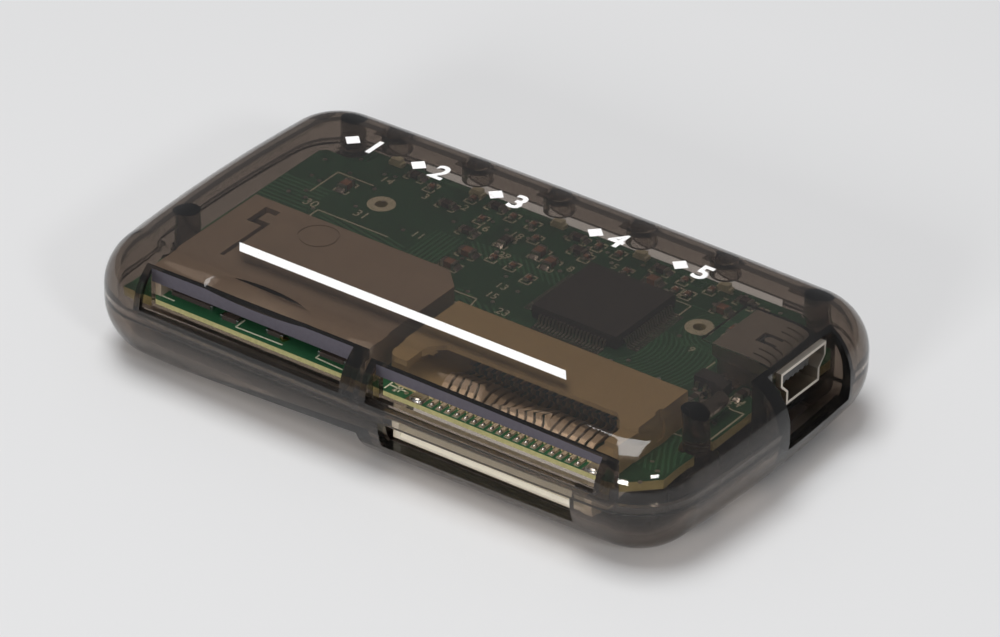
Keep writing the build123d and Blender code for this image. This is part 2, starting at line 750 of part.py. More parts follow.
def crystal_can():
    """Small round can lying on the board, with two wires to their pads."""
    radius = crystal_diameter / 2
    can = Rot(90, 0, 0) * Cylinder(radius, crystal_length)
    can = chamfer(can.edges().group_by(Axis.Y)[-1], radius * 0.3)
    can = Pos(crystal_x, crystal_front_y + crystal_length / 2, board_top_z + radius) * can
    high = board_top_z + radius
    low = board_top_z + crystal_wire / 2
    front = crystal_front_y
    wire = strip([(front + 0.2, high), (front - 0.2, high), (front - 0.5, low), (front - 0.9, low)],
                 crystal_wire, crystal_wire)
    for side in (-1, 1):
        can += Pos(crystal_x + side * radius * 0.45, 0, 0) * wire
    return can


def voltage_regulator():
    """Small moulded body of the regulator."""
    low = board_top_z + 0.1
    return block(regulator_x - regulator_length / 2, regulator_x + regulator_length / 2,
                 regulator_y - regulator_width / 2, regulator_y + regulator_width / 2,
                 low, low + regulator_height)


def regulator_leads():
    """Three leads on one side of the regulator and two on the other."""
    foot_z = board_top_z + 0.06
    exit_z = board_top_z + 0.1 + regulator_height / 2
    start_y = regulator_width / 2
    path = [(start_y, exit_z), (start_y + 0.2, exit_z), (start_y + 0.35, foot_z), (start_y + 0.7, foot_z)]
    lead = strip(path, 0.12, 0.35)
    middle = Pos(regulator_x, regulator_y, 0)
    front = [middle * Rot(0, 0, 180) * Pos(x, 0, 0) * lead for x in row(3, regulator_lead_pitch)]
    back = [middle * Pos(x, 0, 0) * lead for x in row(2, 2 * regulator_lead_pitch)]
    return front + back


def indicator_leds():
    """Five chip indicators along the back edge, each with a rounded lens."""
    leds = []
    for x, y in led_places():
        base = block(x - led_length / 2, x + led_length / 2, y - led_width / 2, y + led_width / 2,
                     board_top_z, board_top_z + led_height / 2)
        lens = block(x - led_length / 3, x + led_length / 3, y - led_width / 2, y + led_width / 2,
                     board_top_z, board_top_z + led_height)
        leds.append(base + lens)
    return leds


def chip_part(x, y, turned, length, width, height):
    """One soldered chip part, lying along X, or along Y where turned."""
    half_x = (width if turned else length) / 2
    half_y = (length if turned else width) / 2
    return block(x - half_x, x + half_x, y - half_y, y + half_y, board_top_z, board_top_z + height)


def resistor_spots():
    """Places of the chip resistors as (X, Y, turned)."""
    beside_leds = [(x + 3.0, y - 0.9, False) for x, y in led_places()]
    near_regulator = [(regulator_x + x, regulator_y + y, turned)
                      for x, y, turned in [(0.1, -2.9, True), (2.7, 0.7, True)]]
    near_chip = [(chip_x + x, chip_y + y, turned)
                 for x, y, turned in [(-19.2, 4.1, False), (-15.2, 4.8, True), (-23.8, 7.0, False),
                                      (-8.3, 7.6, False)]]
    return beside_leds + near_regulator + near_chip


def capacitor_spots():
    """Places of the chip capacitors as (X, Y, turned)."""
    offsets = [(-11.2, 5.0, True), (-9.2, 4.0, True), (-16.8, 0.8, False), (-16.9, -2.0, False),
               (9.1, 7.0, False), (12.1, 4.6, True), (-33.9, 3.8, True), (0.7, 7.3, False)]
    return [(chip_x + x, chip_y + y, turned) for x, y, turned in offsets]


def chip_resistors():
    """Flat chip resistors."""
    return [chip_part(x, y, turned, resistor_length, resistor_width, resistor_height)
            for x, y, turned in resistor_spots()]


def chip_capacitors():
    """Thicker chip capacitors."""
    return [chip_part(x, y, turned, capacitor_length, capacitor_width, capacitor_height)
            for x, y, turned in capacitor_spots()]


nodes = {
    "top_cover": top_cover,
    "bottom_cover": bottom_cover,
    "circuit_board": circuit_board,
    "sd_socket_housing": sd_socket_housing,
    "sd_socket_contacts": sd_socket_contacts,
    "xd_socket_housing": xd_socket_housing,
    "xd_socket_contacts": xd_socket_contacts,
    "xd_hold_down_tabs": xd_hold_down_tabs,
    "ms_socket_housing": ms_socket_housing,
    "ms_socket_contacts": ms_socket_contacts,
    "cf_header_housing": cf_header_housing,
    "cf_header_pins": cf_header_pins,
    "usb_socket_shell": usb_socket_shell,
    "usb_socket_insert": usb_socket_insert,
    "usb_socket_contacts": usb_socket_contacts,
    "controller_chip": controller_chip,
    "controller_leads": controller_leads,
    "crystal_can": crystal_can,
    "voltage_regulator": voltage_regulator,
    "regulator_leads": regulator_leads,
    "indicator_leds": indicator_leds,
    "chip_resistors": chip_resistors,
    "chip_capacitors": chip_capacitors,
}

os.makedirs("parts", exist_ok=True)
for name, build in nodes.items():
    shape = build()
    if isinstance(shape, list):
        shape = Compound(children=[solid for item in shape for solid in item.solids()])
    export_step(shape, f"parts/{name}.step")
    print(name)
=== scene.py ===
import math
import random

import bmesh
import bpy
from mathutils import Euler, Matrix, Vector


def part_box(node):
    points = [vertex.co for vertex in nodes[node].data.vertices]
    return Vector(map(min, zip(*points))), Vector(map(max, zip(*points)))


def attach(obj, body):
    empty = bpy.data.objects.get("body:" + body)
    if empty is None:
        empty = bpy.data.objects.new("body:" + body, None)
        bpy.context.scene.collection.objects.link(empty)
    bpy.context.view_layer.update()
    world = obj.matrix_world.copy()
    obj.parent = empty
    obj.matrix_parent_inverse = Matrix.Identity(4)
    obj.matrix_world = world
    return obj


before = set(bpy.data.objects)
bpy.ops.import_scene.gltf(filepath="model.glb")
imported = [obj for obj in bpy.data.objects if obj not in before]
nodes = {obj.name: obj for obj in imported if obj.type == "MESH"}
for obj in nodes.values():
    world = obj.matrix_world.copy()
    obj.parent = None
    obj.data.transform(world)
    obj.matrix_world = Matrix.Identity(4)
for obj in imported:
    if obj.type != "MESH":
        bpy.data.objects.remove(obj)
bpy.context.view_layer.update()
mm = 0.001
print("frame loaded")


# Shader helpers

class Wire:
    # one socket of a material, so that shader maths reads as plain Python
    def __init__(self, tree, socket=None):
        self.tree = tree
        self.socket = socket

    def add(self, kind, settings=None, inputs=None, output=0):
        node = self.tree.nodes.new(kind)
        for name, value in (settings or {}).items():
            if name == "stops":
                ramp = node.color_ramp.elements
                while len(ramp) < len(value):
                    ramp.new(0.5)
                for element, (place, colour) in zip(ramp, value):
                    element.position = place
                    element.color = (*colour, 1.0)
            else:
                setattr(node, name, value)
        for name, value in (inputs or {}).items():
            if isinstance(value, Wire):
                self.tree.links.new(value.socket, node.inputs[name])
            else:
                node.inputs[name].default_value = value
        return Wire(self.tree, node.outputs[output])

    def maths(self, operation, *values):
        return self.add("ShaderNodeMath", {"operation": operation}, dict(enumerate(values)))

    def __add__(self, other):
        return self.maths("ADD", self, other)

    __radd__ = __add__

    def __sub__(self, other):
        return self.maths("SUBTRACT", self, other)

    def __rsub__(self, other):
        return self.maths("SUBTRACT", other, self)

    def __mul__(self, other):
        return self.maths("MULTIPLY", self, other)

    __rmul__ = __mul__

    def __gt__(self, other):
        return self.maths("GREATER_THAN", self, other)

    def __lt__(self, other):
        return self.maths("LESS_THAN", self, other)

    def size(self):
        return self.maths("ABSOLUTE", self)

    def fraction(self):
        return self.maths("FRACT", self)

    def larger(self, other):
        return self.maths("MAXIMUM", self, other)

    def smooth(self, low, high):
        # 0 below low, 1 above high
        return self.add("ShaderNodeMapRange", {"interpolation_type": "SMOOTHSTEP"},
                        {"Value": self, "From Min": low, "From Max": high})

    def blend(self, first, second):
        # first where this value is 0 and second where it is 1
        return self.add("ShaderNodeMix", {"data_type": "RGBA"},
                        {"Factor": self, 6: colour(first), 7: colour(second)}, 2)


def colour(value):
    # a plain triple gets its alpha, a wire stays as it is
    return value if isinstance(value, Wire) else (*value, 1.0)


def newMaterial(name, **finish):
    # a material, its shader and a wire to build from
    made = bpy.data.materials.new(name)
    made.use_nodes = True
    shader = made.node_tree.nodes["Principled BSDF"]
    for socket, value in finish.items():
        shader.inputs[socket.replace("_", " ")].default_value = value
    return made, shader, Wire(made.node_tree)


def feed(shader, socket, wire):
    wire.tree.links.new(wire.socket, shader.inputs[socket])


def axes(wire, kind=3):
    # the three numbers of object coordinates, or of the normal with kind 1
    place = wire.add("ShaderNodeTexCoord", output=kind)
    return [wire.add("ShaderNodeSeparateXYZ", None, {"Vector": place}, i) for i in range(3)]


def within(value, low, high):
    return (value > low) * (value < high)


def noise(wire, scale, detail=3.0, place=None):
    # noise over object coordinates; scale is in waves to the metre
    if place is None:
        place = wire.add("ShaderNodeTexCoord", output=3)
    return wire.add("ShaderNodeTexNoise", None, {"Vector": place, "Scale": scale, "Detail": detail})


def bump(shader, height, distance, strength=1.0):
    made = height.add("ShaderNodeBump", None,
                      {"Height": height, "Distance": distance, "Strength": strength})
    feed(shader, "Normal", made)


# Materials

def smokedPlastic():
    # clear smoky moulding with faint waves; the windows' cut faces are satin, and the tubes' upper ends carry
    # a painted shade
    made, shader, wire = newMaterial("smokedPlastic", IOR=1.49)
    shader.inputs["Transmission Weight"].default_value = plastic["clear"]
    x, y, z = axes(wire)
    facing = axes(wire, 1)[1]
    satin = ((y + plastic["leftCut"]).size() < plastic["cutReach"]) * (x < 0)
    satin = satin + ((y + plastic["rightCut"]).size() < plastic["cutReach"]) * (x > 0)
    satin = satin * (facing < -0.9) * (z > plastic["cutLow"])
    grain = noise(wire, 2400.0, 3.0)
    cut = grain.blend(plastic["satin"], plastic["satinDark"])
    hazeAndTubeShade = noise(wire, 55.0, 2.0).blend(plastic["thin"], plastic["thick"])
    # painted shade: the upper ends of the tubes are coloured dark, standing in for the shade that falls
    # inside them
    tubeReach = plastic["tubeReach"]
    tubePitch = plastic["tubePitch"]
    tubeEnd = within(z, plastic["tubeLow"], plastic["tubeHigh"])
    tubeEnd = tubeEnd * ((y - plastic["tubeY"]).size() < tubeReach)
    pitches = (x - plastic["tubeX"]) * (1 / tubePitch) + 0.5
    tubeEnd = tubeEnd * ((pitches.fraction() - 0.5).size() < tubeReach / tubePitch)
    hazeAndTubeShade = tubeEnd.blend(hazeAndTubeShade, plastic["tubeEndPaintedShade"])
    feed(shader, "Base Color", satin.blend(hazeAndTubeShade, cut))
    feed(shader, "Metallic", satin * plastic["satinCover"])
    scuff = noise(wire, 380.0, 4.0).smooth(0.55, 0.8) * 0.05 + 0.03
    feed(shader, "Roughness", satin * 0.45 + scuff)
    bump(shader, noise(wire, plastic["waves"], 1.0), plastic["waveHeight"])
    smoke = wire.add("ShaderNodeVolumeAbsorption", None,
                     {"Color": colour(plastic["smoke"]), "Density": plastic["density"]})
    lamp = wire.add("ShaderNodeLightPath", output=1)
    through = wire.add("ShaderNodeBsdfTransparent", None, {"Color": colour(plastic["lamp"])})
    body = Wire(made.node_tree, shader.outputs[0])
    mixed = wire.add("ShaderNodeMixShader", None, {0: lamp, 1: body, 2: through})
    output = made.node_tree.nodes["Material Output"]
    made.node_tree.links.new(mixed.socket, output.inputs["Surface"])
    made.node_tree.links.new(smoke.socket, output.inputs["Volume"])
    return made


plastic = {
    "clear": 0.992,
    "thin": (0.90, 0.87, 0.85),
    "thick": (0.84, 0.81, 0.79),
    "lamp": (0.90, 0.90, 0.90),
    "smoke": (0.56, 0.50, 0.44),
    "density": 1300.0,
    "waves": 60.0,
    "waveHeight": 0.02 * mm,
    "satin": (0.165, 0.155, 0.185),
    "satinDark": (0.125, 0.115, 0.14),
    "satinCover": 0.85,
    "leftCut": 18.0 * mm,
    "rightCut": 18.6 * mm,
    "cutReach": 0.03 * mm,
    "cutLow": 10.0 * mm,
    "tubeX": -2.84 * mm,
    "tubeY": 16.35 * mm,
    "tubePitch": 9.88 * mm,
    "tubeReach": 1.7 * mm,
    "tubeLow": 10.9 * mm,
    "tubeHigh": 12.2 * mm,
    # painted shade colour for the tubes' upper ends
    "tubeEndPaintedShade": (0.10, 0.085, 0.075),
}


def boardGreen():
    # solder mask with copper lines showing through, pale laminate on the cut edges
    made, shader, wire = newMaterial("boardGreen", Roughness=0.3)
    x, y, z = axes(wire)
    facing = axes(wire, 1)[2].size()
    lines = x > 1.0  # nowhere, to begin with
    for left, right, front, back, turn, pitch in board["bundles"]:
        across = x * (math.sin(math.radians(turn)) / (pitch * mm))
        across = across + y * (math.cos(math.radians(turn)) / (pitch * mm))
        area = within(x, left * mm, right * mm) * within(y, front * mm, back * mm)
        lines = lines.larger((across.fraction() < board["share"]) * area)
    for middleX, middleY, inner, outer, pitch, left, right, front, back in board["rings"]:
        alongX = x - middleX * mm
        alongY = y - middleY * mm
        reach = wire.maths("SQRT", alongX * alongX + alongY * alongY)
        arcs = (reach * (1 / (pitch * mm))).fraction() < board["share"]
        arcs = arcs * within(reach, inner * mm, outer * mm)
        area = within(x, left * mm, right * mm) * within(y, front * mm, back * mm)
        lines = lines.larger(arcs * area)
    mask = noise(wire, 900.0, 4.0).blend(board["mask"], board["maskLight"])
    copper = noise(wire, 700.0, 3.0).blend(board["copper"], board["copperLight"])
    weave = noise(wire, 2600.0, 2.0).blend(board["edge"], board["edgeDark"])
    feed(shader, "Base Color", facing.smooth(0.4, 0.6).blend(weave, lines.blend(mask, copper)))
    bump(shader, lines * 0.8 + noise(wire, 5200.0, 2.0) * 0.2, 0.02 * mm)
    return made


board = {
    "mask": (0.016, 0.078, 0.036),
    "maskLight": (0.024, 0.105, 0.050),
    "copper": (0.050, 0.175, 0.085),
    "copperLight": (0.065, 0.200, 0.100),
    "edge": (0.62, 0.58, 0.30),
    "edgeDark": (0.36, 0.34, 0.14),
    "share": 0.42,
    "bundles": [
        # left, right, front, back, turn, pitch, in mm and degrees
        (-30.5, -24.5, 0.3, 8.4, 0, 0.62),
        (-23.0, -12.5, 1.0, 4.6, 12, 0.58),
        (-12.0, -8.4, 0.6, 8.6, 90, 0.55),
        (-8.0, 3.4, 6.9, 9.2, 45, 0.52),
        (-5.6, 3.0, -3.8, 0.2, 40, 0.60),
        (3.4, 15.5, -1.6, 0.0, 90, 0.40),
        (16.0, 24.0, 12.0, 12.4, 0, 0.40),
        (-30.5, -27.6, -16.0, -1.0, 90, 0.6),
        (27.3, 30.5, -13.5, -7.0, 60, 0.55),
        (-21.5, 22.0, 16.3, 17.0, 0, 0.34),
    ],
    "rings": [
        # middle X, middle Y, inner, outer, pitch, and the area: left, right, front, back
        (12.8, 2.6, 4.0, 11.5, 0.50, 15.6, 24.2, -4.4, 6.6),
        (-4.0, -4.6, 1.6, 6.0, 0.55, -4.0, 0.2, -4.0, 1.4),
        (21.5, 9.2, 2.0, 4.6, 0.50, 17.5, 24.0, 5.6, 12.0),
    ],
}


def mouldedPlastic(name, base, dark, roughness, coat=0.0):
    # opaque moulding: soft mottling and a fine spark-eroded grain
    made, shader, wire = newMaterial(name, Roughness=roughness, Coat_Weight=coat)
    feed(shader, "Base Color", noise(wire, 420.0, 3.0).blend(base, dark))
    rough = noise(wire, 1500.0, 2.0) * 0.12 + (roughness - 0.06)
    feed(shader, "Roughness", rough)
    bump(shader, noise(wire, 9000.0, 2.0), 0.006 * mm)
    return made


def platedMetal(name, base, dark, roughness, marks=0.12):
    # bright plating with a little tarnish and rolling marks
    made, shader, wire = newMaterial(name, Metallic=1.0, Roughness=roughness)
    feed(shader, "Base Color", noise(wire, 1100.0, 4.0).blend(base, dark))
    place = wire.add("ShaderNodeTexCoord", output=3)
    stretched = wire.add("ShaderNodeMapping", None, {"Vector": place, "Scale": (0.08, 1.0, 1.0)})
    rolled = noise(wire, 9000.0, 2.0, stretched)
    feed(shader, "Roughness", rolled * marks + (roughness - marks / 2))
    bump(shader, rolled, 0.002 * mm * marks)
    return made


def solderMetal():
    # solder: rounder gloss and small dimples
    made, shader, wire = newMaterial("solder", Metallic=1.0, Roughness=0.24)
    feed(shader, "Base Color", noise(wire, 2200.0, 3.0).blend((0.74, 0.74, 0.72), (0.48, 0.48, 0.47)))
    bump(shader, noise(wire, 3000.0, 3.0), 0.02 * mm)
    return made


def inkPrint(name, base, dark):
    # screen print: an even coat with tiny pinholes
    made, shader, wire = newMaterial(name, Roughness=0.55)
    feed(shader, "Base Color", noise(wire, 5200.0, 3.0).smooth(0.56, 0.7).blend(base, dark))
    bump(shader, noise(wire, 7000.0, 2.0), 0.004 * mm)
    return made


def clearResin():
    # indicator lens: cloudy resin
    made, shader, wire = newMaterial("clearResin", Roughness=0.15)
    feed(shader, "Base Color", noise(wire, 1800.0, 2.0).blend((0.80, 0.82, 0.66), (0.66, 0.68, 0.50)))
    shader.inputs["Subsurface Weight"].default_value = 0.3
    shader.inputs["Subsurface Radius"].default_value = (0.4 * mm, 0.4 * mm, 0.3 * mm)
    return made


def floorPaint():
    # plain pale studio floor
    made, shader, wire = newMaterial("floorPaint", Roughness=0.6)
    feed(shader, "Base Color", noise(wire, 6.0, 2.0).blend((0.80, 0.80, 0.80), (0.77, 0.77, 0.77)))
    return made


finish = {
    "smoked": smokedPlastic(),
    "board": boardGreen(),
    "beige": mouldedPlastic("beigeMoulding", (0.52, 0.42, 0.235), (0.44, 0.35, 0.19), 0.42),
    "greyBeige": mouldedPlastic("greyBeigeMoulding", (0.36, 0.30, 0.24), (0.29, 0.24, 0.19), 0.45),
    "ivory": mouldedPlastic("ivoryMoulding", (0.95, 0.92, 0.80), (0.89, 0.85, 0.71), 0.4),
    "header": mouldedPlastic("headerMoulding", (0.030, 0.030, 0.032), (0.045, 0.045, 0.045), 0.45),
    "insert": mouldedPlastic("insertMoulding", (0.018, 0.018, 0.018), (0.03, 0.03, 0.03), 0.4),
    "chip": mouldedPlastic("chipEpoxy", (0.028, 0.028, 0.030), (0.045, 0.045, 0.048), 0.5),
    "resistor": mouldedPlastic("resistorFilm", (0.050, 0.040, 0.036), (0.07, 0.055, 0.05), 0.3),
    "capacitor": mouldedPlastic("capacitorCeramic", (0.30, 0.17, 0.115), (0.22, 0.12, 0.08), 0.4),
    "gold": platedMetal("goldContact", (0.83, 0.62, 0.27), (0.66, 0.47, 0.18), 0.24),
    "tin": platedMetal("tinPlate", (0.70, 0.68, 0.63), (0.52, 0.50, 0.46), 0.30),
    "warmTin": platedMetal("warmContact", (0.80, 0.70, 0.56), (0.64, 0.55, 0.43), 0.45),
    "steel": platedMetal("socketSteel", (0.60, 0.55, 0.48), (0.50, 0.45, 0.39), 0.34, 0.06),
    "can": platedMetal("canMetal", (0.78, 0.78, 0.76), (0.62, 0.62, 0.60), 0.14),
    "solder": solderMetal(),
    "resin": clearResin(),
    "ink": inkPrint("whiteInk", (0.86, 0.87, 0.88), (0.60, 0.60, 0.60)),
    "silk": inkPrint("boardInk", (0.60, 0.60, 0.48), (0.30, 0.36, 0.24)),
}

nodeFinish = {
    "top_cover": "smoked",
    "bottom_cover": "smoked",
    "circuit_board": "board",
    "sd_socket_housing": "greyBeige",
    "sd_socket_contacts": "gold",
    "xd_socket_housing": "beige",
    "xd_socket_contacts": "warmTin",
    "xd_hold_down_tabs": "tin",
    "ms_socket_housing": "ivory",
    "ms_socket_contacts": "gold",
    "cf_header_housing": "header",
    "cf_header_pins": "gold",
    "usb_socket_shell": "steel",
    "usb_socket_insert": "insert",
    "usb_socket_contacts": "gold",
    "controller_chip": "chip",
    "controller_leads": "tin",
    "crystal_can": "can",
    "voltage_regulator": "chip",
    "regulator_leads": "tin",
    "indicator_leds": "resin",
    "chip_resistors": "resistor",
    "chip_capacitors": "capacitor",
}

for nodeName, finishName in nodeFinish.items():
    for materialSlot in nodes[nodeName].material_slots:
        materialSlot.material = finish[finishName]
print("materials on the frame's pieces")


# Modelling helpers

def deselect():
    if bpy.context.object is not None and bpy.context.object.mode != "OBJECT":
        bpy.ops.object.mode_set(mode="OBJECT")
    bpy.ops.object.select_all(action="DESELECT")


def pick(piece):
    deselect()
    piece.select_set(True)
    bpy.context.view_layer.objects.active = piece


def settle(piece, name, finishName):
    # the piece's place goes into its mesh, and it rides on the reader
    pick(piece)
    bpy.ops.object.transform_apply(location=True, rotation=True, scale=True)
    piece.name = name
    piece.data.name = name
    piece.data.materials.clear()
    piece.data.materials.append(finish[finishName])
    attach(piece, "root")
    return piece


def copyAt(model, spot, size=(1, 1, 1), turn=0.0):
    # a copy with its own mesh, scaled, turned about Z and moved
    copy = model.copy()
    copy.data = model.data.copy()
    copy.data.transform(Matrix.LocRotScale(Vector(spot), Euler((0, 0, turn)), Vector(size)))
    bpy.context.collection.objects.link(copy)
    return copy


def joined(copies, model=None):
    # one piece from many; the model they were copied from goes
    deselect()
    for copy in copies:
        copy.select_set(True)
    bpy.context.view_layer.objects.active = copies[0]
    if len(copies) > 1:
        bpy.ops.object.join()
    whole = bpy.context.object
    if model is not None:
        bpy.data.objects.remove(model)
    return whole


def unitPlate(edge=0.0):
    # a plate 1 m square and 1 m high, standing on Z = 0, its top edges eased
    deselect()
    bpy.ops.mesh.primitive_cube_add(size=1.0, location=(0, 0, 0.5))
    plate = bpy.context.object
    bpy.ops.object.transform_apply(location=True)
    if edge > 0:
        bpy.ops.object.mode_set(mode="EDIT")
        bpy.ops.mesh.select_all(action="DESELECT")
        mesh = bmesh.from_edit_mesh(plate.data)
        for face in mesh.faces:
            face.select_set(face.normal.z > 0.9)
        bmesh.update_edit_mesh(plate.data)
        bpy.ops.mesh.bevel(offset=edge, segments=2)
        bpy.ops.object.mode_set(mode="OBJECT")
    return plate


def solidBoxes(nodeName):
    # lowest and highest corner of each separate solid in a node, left to right
    mesh = bmesh.new()
    mesh.from_mesh(nodes[nodeName].data)
    bmesh.ops.remove_doubles(mesh, verts=mesh.verts, dist=0.0005 * mm)
    waiting = set(mesh.verts)
    boxes = []
    while waiting:
        group = [waiting.pop()]
        for vertex in group:
            for edge in vertex.link_edges:
                other = edge.other_vert(vertex)
                if other in waiting:
                    waiting.discard(other)
                    group.append(other)
        corners = [vertex.co.copy() for vertex in group]
        low = Vector(min(c[i] for c in corners) for i in range(3))
        high = Vector(max(c[i] for c in corners) for i in range(3))
        boxes.append((low, high))
    mesh.free()
    return sorted(boxes, key=lambda box: (round(box[0].x, 6), box[0].y))


# Floor, light and camera

studio = {
    "floorSize": 6.0,
    "world": (0.95, 0.96, 1.0),
    "worldStrength": 0.22,
}

lamps = [
    # name, place, size, power
    ("keyLamp", (-0.15, -0.05, 1.0), (0.7, 0.5), 6.8),
    ("leftLamp", (0.16, -0.82, 0.27), (0.20, 0.13), 2.6),
    ("rightLamp", (0.75, -0.40, 0.50), (0.17, 0.11), 1.5),
]

view = {
    "azimuth": 35.655,
    "elevation": 31.837,
    "roll": -0.742,
    "distance": 686.5 * mm,
    "aim": (7.698 * mm, -10.573 * mm, 13.752 * mm),
    "lens": 261.6,
    "aimPixel": (485.0, 330.0),
    "picture": (1000.0, 637.0),
}


def makeStudio():
    deselect()
    bpy.ops.mesh.primitive_plane_add(size=studio["floorSize"], location=(0, 0, 0))
    floor = bpy.context.object
    floor.name = "studioFloor"
    floor.data.materials.append(floorPaint())
    world = bpy.data.worlds.new("studioWorld")
    world.use_nodes = True
    background = world.node_tree.nodes["Background"]
    background.inputs["Color"].default_value = colour(studio["world"])
    background.inputs["Strength"].default_value = studio["worldStrength"]
    bpy.context.scene.world = world
    for name, spot, size, power in lamps:
        deselect()
        bpy.ops.object.light_add(type="AREA", location=spot)
        lamp = bpy.context.object
        lamp.name = name
        lamp.data.shape = "RECTANGLE"
        lamp.data.size, lamp.data.size_y = size
        lamp.data.energy = power
        lamp.rotation_mode = "QUATERNION"
        lamp.rotation_quaternion = (-Vector(spot)).to_track_quat("-Z", "Y")


def makeCamera():
    turn = math.radians(view["azimuth"])
    lift = math.radians(view["elevation"])
    roll = math.radians(view["roll"])
    back = Vector((math.sin(turn) * math.cos(lift), -math.cos(turn) * math.cos(lift), math.sin(lift)))
    level = Vector((math.cos(turn), math.sin(turn), 0))
    upright = back.cross(level)
    right = level * math.cos(roll) - upright * math.sin(roll)
    up = upright * math.cos(roll) + level * math.sin(roll)
    deselect()
    bpy.ops.object.camera_add(location=Vector(view["aim"]) + back * view["distance"])
    camera = bpy.context.object
    camera.rotation_euler = Matrix((right, up, back)).transposed().to_euler()
    camera.data.sensor_width = 36.0
    camera.data.lens = view["lens"]
    width, height = view["picture"]
    camera.data.shift_x = (width / 2 - view["aimPixel"][0]) / width
    camera.data.shift_y = (view["aimPixel"][1] - height / 2) / width
    camera.data.clip_start = 10 * mm
    bpy.context.scene.camera = camera


makeStudio()
makeCamera()
bpy.context.scene.view_settings.view_transform = "Standard"
print("floor, light and camera")


# Printed marks on the top cover, just under its gloss

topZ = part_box("top_cover")[1].z

marks = {
    "thickness": 0.03 * mm,
    "depth": 0.015 * mm,
    "diamondWidth": 1.9 * mm,
    "diamondX": (-24.7, -16.6, -7.2, 4.7, 14.7),
    "diamondY": 11.75 * mm,
    "numberSize": 3.5 * mm,
    "numberBold": 0.09 * mm,
    "numberGap": 1.7 * mm,
    "stripeY": -11.1 * mm,
    "stripeWidth": 1.3 * mm,
    "stripeLeft": -20.7 * mm,
    "stripeRight": 18.0 * mm,
    "stripeSlant": 1.0 * mm,
}


def makeDiamonds():
    # five squares stood on a corner, one over each indicator
    z = topZ - marks["depth"] - marks["thickness"]
    model = unitPlate()
    side = marks["diamondWidth"] / math.sqrt(2)
    size = (side, side, marks["thickness"])
    copies = [copyAt(model, (x * mm, marks["diamondY"], z), size, math.pi / 4) for x in marks["diamondX"]]
    settle(joined(copies, model), "printedDiamonds", "ink")


def flatText(words, size, x, y, z, thickness, bold=0.0):
    # raised characters as a mesh, their left end and middle line at (x, y)
    deselect()
    bpy.ops.object.text_add()
    text = bpy.context.object
    text.data.body = words
    text.data.size = size
    text.data.extrude = thickness / 2
    text.data.offset = bold
    text.data.resolution_u = 3
    text.data.align_y = "CENTER"
    bpy.ops.object.convert(target="MESH")
    mesh = bpy.context.object
    mesh.data.transform(Matrix.LocRotScale(Vector((x, y, z + thickness / 2)), None, None))
    return mesh


def makeNumbers():
    # a plain number beside each diamond
    z = topZ - marks["depth"] - marks["thickness"]
    texts = [flatText(str(i + 1), marks["numberSize"], x * mm + marks["numberGap"], marks["diamondY"], z,
                      marks["thickness"], marks["numberBold"])
             for i, x in enumerate(marks["diamondX"])]
    settle(joined(texts), "printedNumbers", "ink")


def makeStripe():
    # a long bar with both ends cut on the slant
    z = topZ - marks["depth"] - marks["thickness"]
    middle = (marks["stripeLeft"] + marks["stripeRight"]) / 2
    length = marks["stripeRight"] - marks["stripeLeft"]
    model = unitPlate()
    size = (length, marks["stripeWidth"], marks["thickness"])
    stripe = copyAt(model, (middle, marks["stripeY"], z), size)
    bpy.data.objects.remove(model)
    pick(stripe)
    bpy.ops.object.mode_set(mode="EDIT")
    bpy.ops.mesh.select_all(action="DESELECT")
    mesh = bmesh.from_edit_mesh(stripe.data)
    for vertex in mesh.verts:
        vertex.select_set(vertex.co.y > marks["stripeY"])
    mesh.select_flush(True)
    bmesh.update_edit_mesh(stripe.data)
    bpy.ops.transform.translate(value=(-marks["stripeSlant"], 0, 0))
    bpy.ops.object.mode_set(mode="OBJECT")
    settle(stripe, "printedStripe", "ink")


makeDiamonds()
makeNumbers()
makeStripe()
print("printed marks")


# What is printed, plated and soldered on the circuit board

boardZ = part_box("controller_leads")[0].z

silk = {
    "width": 0.16 * mm,
    "height": 0.02 * mm,
    "partGap": 0.32 * mm,
    "leg": 0.55 * mm,
}

padHeight = 0.03 * mm


def loose(x, y, inset):
    # is the spot on the board and clear of the sockets and the chip
    for nodeName in ("sd_socket_housing", "xd_socket_housing", "controller_leads", "usb_socket_shell"):
        low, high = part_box(nodeName)
        if low.x - inset < x < high.x + inset and low.y - inset < y < high.y + inset:
            return False
    low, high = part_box("circuit_board")
    endGap = vias["endGap"]
    sideGap = vias["sideGap"]
    return low.x + endGap < x < high.x - endGap and low.y + sideGap < y < high.y - sideGap


def plates(name, spots, height, finishName, edge=0.0):
    # one piece of many flat plates, each given as middle X, middle Y, length, width and turn
    model = unitPlate(edge)
    copies = [copyAt(model, (x, y, boardZ), (length, width, height), turn)
              for x, y, length, width, turn in spots]
    return settle(joined(copies, model), name, finishName)


def bracket(low, high):
    # corner marks round a part
    gap = silk["partGap"]
    leg = silk["leg"]
    width = silk["width"]
    spots = []
    for x, toX in ((low[0] - gap, 1), (high[0] + gap, -1)):
        for y, toY in ((low[1] - gap, 1), (high[1] + gap, -1)):
            spots.append((x + toX * leg / 2, y, leg + width, width, 0.0))
            spots.append((x, y + toY * leg / 2, width, leg + width, 0.0))
    return spots


def line(x0, y0, x1, y1):
    # a plate from one point to another
    length = math.hypot(x1 - x0, y1 - y0)
    return ((x0 + x1) / 2, (y0 + y1) / 2, length, silk["width"], math.atan2(y1 - y0, x1 - x0))


smallParts = solidBoxes("chip_resistors") + solidBoxes("chip_capacitors")

